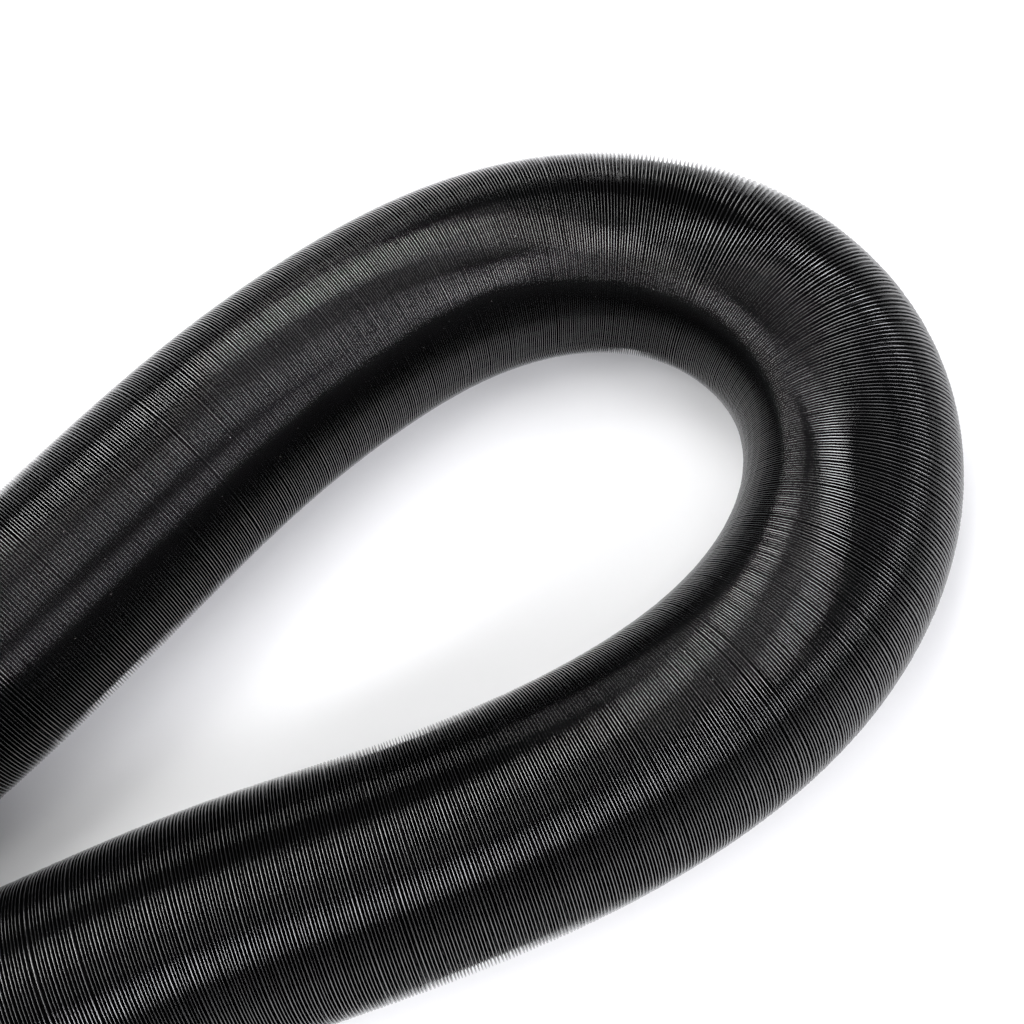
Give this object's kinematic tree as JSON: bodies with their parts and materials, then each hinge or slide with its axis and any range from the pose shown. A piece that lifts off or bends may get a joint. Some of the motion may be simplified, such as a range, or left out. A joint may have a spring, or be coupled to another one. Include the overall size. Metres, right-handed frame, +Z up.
{
  "type": "stretch vacuum hose",
  "caption": "Black, finely ribbed stretch vacuum hose lying in a teardrop loop, with a swivelling latched machine connector and a swivelling tool cuff.",
  "frame": {"origin": "on the floor, under the middle of the whole hose's bounding box", "axes": "+Z up, +X towards the closed end of the loop, both ends side by side pointing along -X, the machine connector on the +Y side"},
  "size_m": [0.604, 0.1595, 0.062],
  "materials": {
    "hose_wall": "satin, finely ribbed",
    "nut_plastic": "satin moulded",
    "shell_plastic": "fine moulded grain",
    "grip_rubber": "soft matte",
    "seal_rubber": "smooth",
    "control_plastic": "satin moulded",
    "spring_steel": "drawn wire",
    "screw_steel": "zinc plated"
  },
  "bodies": {
    "hose": {"hose_tube": "hose_wall", "machine_hose_nut": "nut_plastic", "machine_bend_relief": "grip_rubber", "tool_hose_nut": "nut_plastic", "tool_bend_relief": "grip_rubber", "tool_retaining_ring": "spring_steel"},
    "machine_connector": {"machine_lip_seal": "seal_rubber", "machine_spigot": "nut_plastic", "machine_gasket": "seal_rubber", "machine_shell_upper": "shell_plastic", "machine_shell_lower": "shell_plastic", "machine_shell_screws": "screw_steel", "latch_pin_left": "spring_steel", "latch_pin_right": "spring_steel", "latch_spring_left": "spring_steel", "latch_spring_right": "spring_steel"},
    "latch_left": {"latch_lever_left": "control_plastic"},
    "latch_right": {"latch_lever_right": "control_plastic"},
    "tool_end": {"tool_lip_seal": "seal_rubber", "tool_cuff": "shell_plastic", "tool_grip_sleeve": "grip_rubber", "tool_release_spring": "spring_steel"},
    "bleed_ring": {"bleed_collar": "control_plastic"},
    "release": {"tool_release_button": "control_plastic"}
  },
  "joints": [
    {"name": "machine_swivel", "type": "hinge", "parent": "hose", "child": "machine_connector", "pos_m": [-0.214, 0.038, 0.031], "axis": [-1, 0, 0], "continuous": true},
    {"name": "latch_left_press", "type": "hinge", "parent": "machine_connector", "child": "latch_left", "pos_m": [-0.254, 0.0041, 0.031], "axis": [0, 0, 1], "range_deg": [0, 8], "stiffness_Nm_per_rad": 0.35, "springref_deg": -5.73, "deforming": ["latch_spring_left"]},
    {"name": "latch_right_press", "type": "hinge", "parent": "machine_connector", "child": "latch_right", "pos_m": [-0.254, 0.0719, 0.031], "axis": [0, 0, -1], "range_deg": [0, 8], "stiffness_Nm_per_rad": 0.35, "springref_deg": -5.73, "deforming": ["latch_spring_right"]},
    {"name": "tool_swivel", "type": "hinge", "parent": "hose", "child": "tool_end", "pos_m": [-0.214, -0.038, 0.031], "axis": [-1, 0, 0], "continuous": true},
    {"name": "bleed_collar_turn", "type": "hinge", "parent": "tool_end", "child": "bleed_ring", "pos_m": [-0.2338, -0.038, 0.031], "axis": [-1, 0, 0], "range_deg": [0, 50]},
    {"name": "release_press", "type": "slide", "parent": "tool_end", "child": "release", "axis": [0, 0, -1], "range_m": [0, 0.0016], "stiffness_N_per_m": 1200, "springref_m": -0.001, "deforming": ["tool_release_spring"]}
  ]
}
